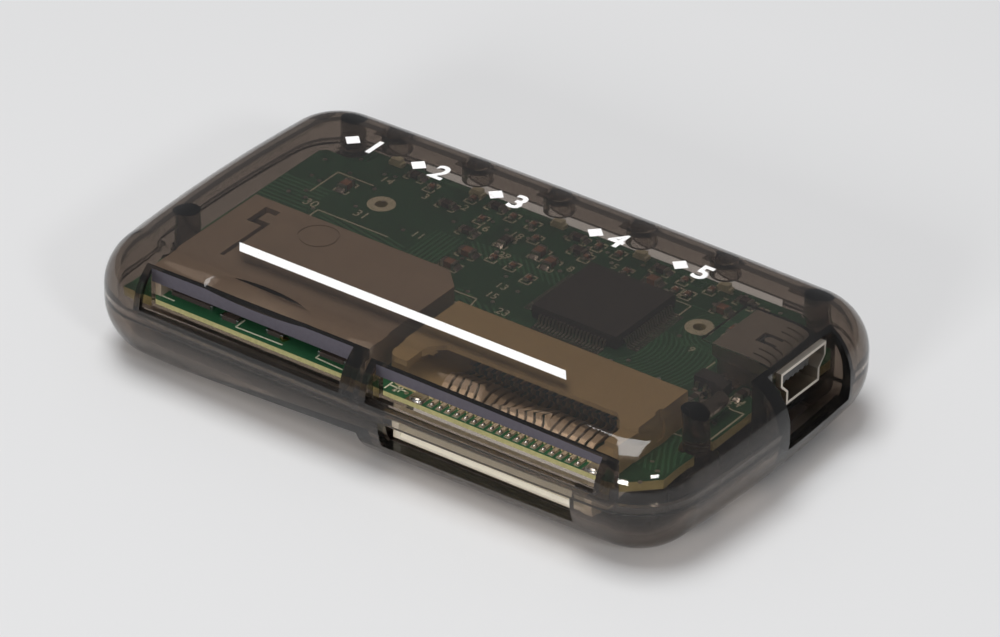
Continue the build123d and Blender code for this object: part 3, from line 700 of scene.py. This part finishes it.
tinyParts = {
    "length": 1.0 * mm,
    "width": 0.5 * mm,
    "height": 0.35 * mm,
    "bodyShare": 0.6,
    "endShare": 0.28,
    "spots": [
        # middle X, middle Y, in mm
        (2.6, 15.4), (5.0, 15.4), (7.4, 13.2), (12.9, 15.3), (14.6, 13.3), (16.0, 15.4), (22.0, 14.9),
        (13.2, 13.2), (-12.6, 15.4), (-7.4, 14.9), (-4.9, 14.9), (-17.2, 14.7), (-3.2, 12.9), (-9.6, 12.7),
        (-2.0, 7.4), (0.6, 6.4), (-4.4, 7.6), (2.8, 13.0),
    ],
}


def makeTinyParts():
    # the smallest chip parts, a body and two bright ends each
    length = tinyParts["length"]
    width = tinyParts["width"]
    height = tinyParts["height"]
    bodies = []
    ends = []
    for x, y in tinyParts["spots"]:
        bodies.append((x * mm, y * mm, width, length * tinyParts["bodyShare"], 0.0))
        for side in (-1, 1):
            endY = y * mm + side * length * 0.4
            ends.append((x * mm, endY, width * 1.1, length * tinyParts["endShare"], 0.0))
    plates("tinyPartBodies", bodies, height, "capacitor", 0.1)
    plates("tinyPartEnds", ends, height * 1.08, "solder", 0.2)


endCap = {
    "share": 0.22,  # of the part's length
    "proud": 0.02 * mm,
}


def makeEndCaps():
    # plated ends of the chip resistors and capacitors
    spots = {}
    for low, high in smallParts:
        size = high - low
        along = 0 if size.x > size.y else 1
        cap = size[along] * endCap["share"]
        for side in (-1, 1):
            middle = (low + high) / 2
            middle[along] += side * (size[along] / 2 - cap / 2 + endCap["proud"] / 2)
            plan = [size.x + 2 * endCap["proud"], size.y + 2 * endCap["proud"]]
            plan[along] = cap + endCap["proud"]
            spots.setdefault(round(size.z, 5), []).append((middle.x, middle.y, plan[0], plan[1], 0.0))
    for i, (height, group) in enumerate(spots.items()):
        plates("partEnds%d" % (i + 1), group, height + endCap["proud"], "tin", 0.06)


bead = {
    "reach": 0.45 * mm,     # out from the part
    "widthShare": 1.15,     # of the part's width
    "heightShare": 0.65,    # of the part's height
    "lowEnd": 0.18,
    "taper": 0.8,
    "round": 0.16,
}


def solderModel():
    # a sloping bead against the end of a part: high at -X, running out at +X
    model = unitPlate()
    pick(model)
    bpy.ops.object.mode_set(mode="EDIT")
    bpy.ops.mesh.select_all(action="DESELECT")
    mesh = bmesh.from_edit_mesh(model.data)
    for vertex in mesh.verts:
        if vertex.co.z > 0.5 and vertex.co.x > 0:
            vertex.co.z = bead["lowEnd"]
            vertex.co.y *= bead["taper"]
    for edge in mesh.edges:
        edge.select_set(all(vertex.co.z > 0.1 for vertex in edge.verts))
    bmesh.update_edit_mesh(model.data)
    bpy.ops.mesh.bevel(offset=bead["round"], segments=2)
    bpy.ops.object.mode_set(mode="OBJECT")
    return model


def makeSolder():
    # beads at both ends of each small part
    model = solderModel()
    reach = bead["reach"]
    copies = []
    for low, high in smallParts:
        size = high - low
        along = 0 if size.x > size.y else 1
        width = size[1 - along] * bead["widthShare"]
        for side in (-1, 1):
            spot = (low + high) / 2
            spot[along] += side * (size[along] / 2 + reach / 2)
            spot.z = boardZ
            turn = (0 if side > 0 else math.pi) + along * math.pi / 2
            copies.append(copyAt(model, spot, (reach, width, size.z * bead["heightShare"]), turn))
    settle(joined(copies, model), "partSolder", "solder")


pads = {
    "chipCount": 20,
    "chipPitch": 0.4 * mm,
    "chipReach": 6.05 * mm,         # from the chip's middle to its pads
    "chip": (1.3 * mm, 0.26 * mm),
    "regulator": (0.65 * mm, 1.0 * mm),
    "tab": (1.9 * mm, 1.5 * mm),
    "tabInset": 0.35 * mm,
    "foot": (2.0 * mm, 1.5 * mm),
    "footReach": 3.3 * mm,          # from the USB socket's middle line
    "footInsets": (1.5 * mm, 2.8 * mm),
}


def makePads():
    # plated pads under the leads of the chip, the regulator and the USB socket's feet
    spots = []
    low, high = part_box("controller_chip")
    middle = (low + high) / 2
    length, width = pads["chip"]
    for i in range(pads["chipCount"]):
        step = (i - (pads["chipCount"] - 1) / 2) * pads["chipPitch"]
        for side in (-1, 1):
            reach = side * pads["chipReach"]
            spots.append((middle.x + reach, middle.y + step, length, width, 0.0))
            spots.append((middle.x + step, middle.y + reach, width, length, 0.0))
    for low, high in solidBoxes("regulator_leads"):
        spots.append(((low.x + high.x) / 2, (low.y + high.y) / 2, *pads["regulator"], 0.0))
    for low, high in solidBoxes("xd_hold_down_tabs"):
        spots.append(((low.x + high.x) / 2, low.y + pads["tabInset"], *pads["tab"], 0.0))
    low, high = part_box("usb_socket_shell")
    for x in (low.x + pads["footInsets"][0], high.x - pads["footInsets"][1]):
        for side in (-1, 1):
            spots.append((x, (low.y + high.y) / 2 + side * pads["footReach"], *pads["foot"], 0.0))
    plates("leadPads", spots, padHeight, "solder", 0.05)


tails = {
    "inset": 0.42 * mm,
    "bead": (0.29 * mm, 0.40 * mm, 0.27 * mm),
    "tabInset": 0.2 * mm,
    "tabBead": (0.7 * mm, 0.45 * mm, 0.3 * mm),
    "pad": (0.66 * mm, 1.25 * mm),
    "padShift": 0.12 * mm,
}


def makeTailBeads():
    # a rounded bead of solder over each tail of the right socket
    deselect()
    bpy.ops.mesh.primitive_uv_sphere_add(segments=14, ring_count=8, radius=1.0)
    model = bpy.context.object
    bpy.ops.object.mode_set(mode="EDIT")
    bpy.ops.mesh.select_all(action="SELECT")
    bpy.ops.mesh.bisect(plane_co=(0, 0, 0), plane_no=(0, 0, 1), use_fill=True, clear_inner=True)
    bpy.ops.object.mode_set(mode="OBJECT")
    copies = []
    spots = []
    for low, high in solidBoxes("xd_socket_contacts"):
        x = (low.x + high.x) / 2
        y = low.y + tails["inset"]
        copies.append(copyAt(model, (x, y, boardZ), tails["bead"]))
        spots.append((x, y + tails["padShift"], *tails["pad"], 0.0))
    for low, high in solidBoxes("xd_hold_down_tabs"):
        spot = ((low.x + high.x) / 2, low.y + tails["tabInset"], boardZ)
        copies.append(copyAt(model, spot, tails["tabBead"]))
    for piece in copies:
        pick(piece)
        bpy.ops.object.shade_smooth_by_angle(angle=math.radians(50))
    settle(joined(copies, model), "tailSolder", "solder")
    plates("tailPads", spots, padHeight, "tin", 0.05)


vias = {
    "count": 90,
    "radius": 0.24 * mm,
    "ringShare": 0.55,
    "sunk": 0.02 * mm,
    "gap": 0.4 * mm,        # from sockets and chip
    "endGap": 1.2 * mm,     # from the board's edges
    "sideGap": 0.5 * mm,
}


def makeVias():
    # small plated holes scattered where the board is free
    random.seed(7)
    deselect()
    bpy.ops.mesh.primitive_cylinder_add(vertices=12, radius=vias["radius"], depth=padHeight,
                                        location=(0, 0, padHeight / 2))
    model = bpy.context.object
    bpy.ops.object.transform_apply(location=True)
    bpy.ops.object.mode_set(mode="EDIT")
    bpy.ops.mesh.select_all(action="DESELECT")
    mesh = bmesh.from_edit_mesh(model.data)
    for face in mesh.faces:
        face.select_set(face.normal.z > 0.9)
    bmesh.update_edit_mesh(model.data)
    bpy.ops.mesh.inset(thickness=vias["radius"] * vias["ringShare"])
    bpy.ops.transform.translate(value=(0, 0, -vias["sunk"]))
    bpy.ops.object.mode_set(mode="OBJECT")
    low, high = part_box("circuit_board")
    copies = []
    while len(copies) < vias["count"]:
        x = random.uniform(low.x, high.x)
        y = random.uniform(low.y, high.y)
        if loose(x, y, vias["gap"]):
            copies.append(copyAt(model, (x, y, boardZ)))
    settle(joined(copies, model), "boardVias", "tin")


holeRing = {
    "places": [(-19.27 * mm, 9.22 * mm), (18.83 * mm, 9.22 * mm)],
    "inner": 0.66 * mm,
    "outer": 1.45 * mm,
}


def makeHoleRings():
    # pale rings round the two holes of the board
    rings = []
    scale = holeRing["outer"] / holeRing["inner"]
    for x, y in holeRing["places"]:
        middle = (x, y, boardZ)
        deselect()
        bpy.ops.mesh.primitive_circle_add(vertices=40, radius=holeRing["inner"], location=middle)
        ring = bpy.context.object
        bpy.ops.object.transform_apply(location=True)
        bpy.ops.object.mode_set(mode="EDIT")
        bpy.ops.mesh.select_all(action="SELECT")
        bpy.ops.mesh.extrude_edges_move()
        bpy.ops.transform.resize(value=(scale, scale, 1), center_override=middle)
        bpy.ops.mesh.select_all(action="SELECT")
        bpy.ops.mesh.normals_make_consistent(inside=False)
        bpy.ops.object.mode_set(mode="OBJECT")
        thick = ring.modifiers.new("thick", "SOLIDIFY")
        thick.thickness = padHeight
        thick.offset = 1.0
        bpy.ops.object.modifier_apply(modifier="thick")
        rings.append(ring)
    settle(joined(rings), "holeRings", "silk")


def makeSilk():
    # corner marks round the parts, lines round the sockets and chip, and plain numbers
    spots = []
    for low, high in smallParts:
        spots += bracket(low, high)
    half = tinyParts["length"] / 2
    for x, y in tinyParts["spots"]:
        spots += bracket((x * mm - half / 2, y * mm - half), (x * mm + half / 2, y * mm + half))
    for points in silkLines:
        for start, end in zip(points, points[1:]):
            spots.append(line(start[0] * mm, start[1] * mm, end[0] * mm, end[1] * mm))
    plates("boardOutlines", spots, silk["height"], "silk")
    texts = [flatText(words, size * mm, x * mm, y * mm, boardZ, silk["height"])
             for words, x, y, size in silkNumbers]
    settle(joined(texts), "boardNumbers", "silk")


silkLines = [
    # corner by corner, in mm
    [(-17.4, -15.2), (-17.35, -16.7), (-11.8, -16.6)],
    [(-7.9, -15.6), (-7.85, -16.5), (-4.5, -16.7)],
    [(-26.7, -16.45), (-25.0, -16.5)],
    [(0.6, -15.6), (0.6, -16.9)],
    [(1.6, -15.4), (1.6, -16.8)],
    [(0.6, -16.1), (2.7, -16.2)],
    [(2.0, -15.6), (2.0, -16.7)],
    [(-5.7, 0.4), (-1.3, 0.5), (-1.0, -0.9), (-3.4, -1.4)],
    [(2.4, -3.9), (2.4, -3.0), (24.2, -3.0)],
    [(16.0, 9.4), (16.0, 11.9), (13.9, 11.9)],
    [(-26.4, 7.0), (-26.4, 11.6), (-22.0, 11.6)],
    [(23.6, 2.6), (23.6, 4.9)],
    [(24.0, 10.9), (30.2, 10.9)],
    [(-23.6, 2.6), (-23.6, 4.6), (-15.0, 4.6)],
    [(27.0, -0.7), (30.4, -0.7), (30.4, -7.4), (27.0, -7.4)],
]

silkNumbers = [
    # number, left end, middle line, size
    ("14", -22.3, 13.2, 1.5), ("16", -9.4, 11.6, 1.5), ("18", -5.9, 12.4, 1.5), ("29", -4.6, 8.6, 1.4),
    ("23", 1.4, 0.0, 1.5), ("13", -1.4, 3.8, 1.4), ("15", -1.2, 1.9, 1.4), ("8", 2.4, 10.4, 1.4),
    ("5", 5.6, 13.4, 1.4), ("4", 8.6, 11.9, 1.3), ("6", 13.6, 13.0, 1.3), ("7", 17.6, 14.6, 1.3),
    ("12", 21.0, 12.9, 1.4), ("9", 20.2, 5.4, 1.3), ("2", -12.6, 13.6, 1.4), ("3", -17.0, 13.0, 1.4),
    ("30", -25.8, 5.2, 1.7), ("31", -20.5, 6.4, 1.7), ("24", 27.9, 0.4, 1.4), ("11", -13.6, 6.6, 1.5),
]

windowParts = {
    "bodies": [
        # middle X, middle Y, length, width, in mm
        (-23.6, -15.3, 4.6, 0.9), (-18.5, -15.9, 1.6, 0.9), (-6.4, -15.6, 2.8, 0.8), (-13.4, -15.5, 1.5, 0.7),
    ],
    "bodyHeight": 0.45 * mm,
    "endLength": 0.34 * mm,
    "endHeight": 0.4 * mm,
    "beads": [
        # X, Y in mm, and turn in radians
        (-28.9, -15.0, 0.4), (-28.0, -15.6, 2.0), (-27.2, -16.2, 3.4), (-12.2, -15.7, 1.2),
    ],
    "beadSize": (0.8 * mm, 0.6 * mm, 0.35 * mm),
}


def makeWindowParts():
    # flat parts behind the left window with bright ends, and beads of solder beside them
    bodies = []
    ends = []
    for x, y, length, width in windowParts["bodies"]:
        bodies.append((x * mm, y * mm, length * mm, width * mm, 0.0))
        for side in (-1, 1):
            endX = (x + side * (length / 2 + 0.12)) * mm
            ends.append((endX, y * mm, windowParts["endLength"], width * 0.8 * mm, 0.0))
    plates("windowPartBodies", bodies, windowParts["bodyHeight"], "resistor", 0.15)
    plates("windowPartEnds", ends, windowParts["endHeight"], "solder", 0.2)
    model = solderModel()
    copies = [copyAt(model, (x * mm, y * mm, boardZ), windowParts["beadSize"], turn)
              for x, y, turn in windowParts["beads"]]
    settle(joined(copies, model), "windowSolder", "gold")


makeTinyParts()
makeWindowParts()
makeEndCaps()
makeSolder()
makePads()
makeTailBeads()
makeVias()
makeHoleRings()
makeSilk()
print("board details")
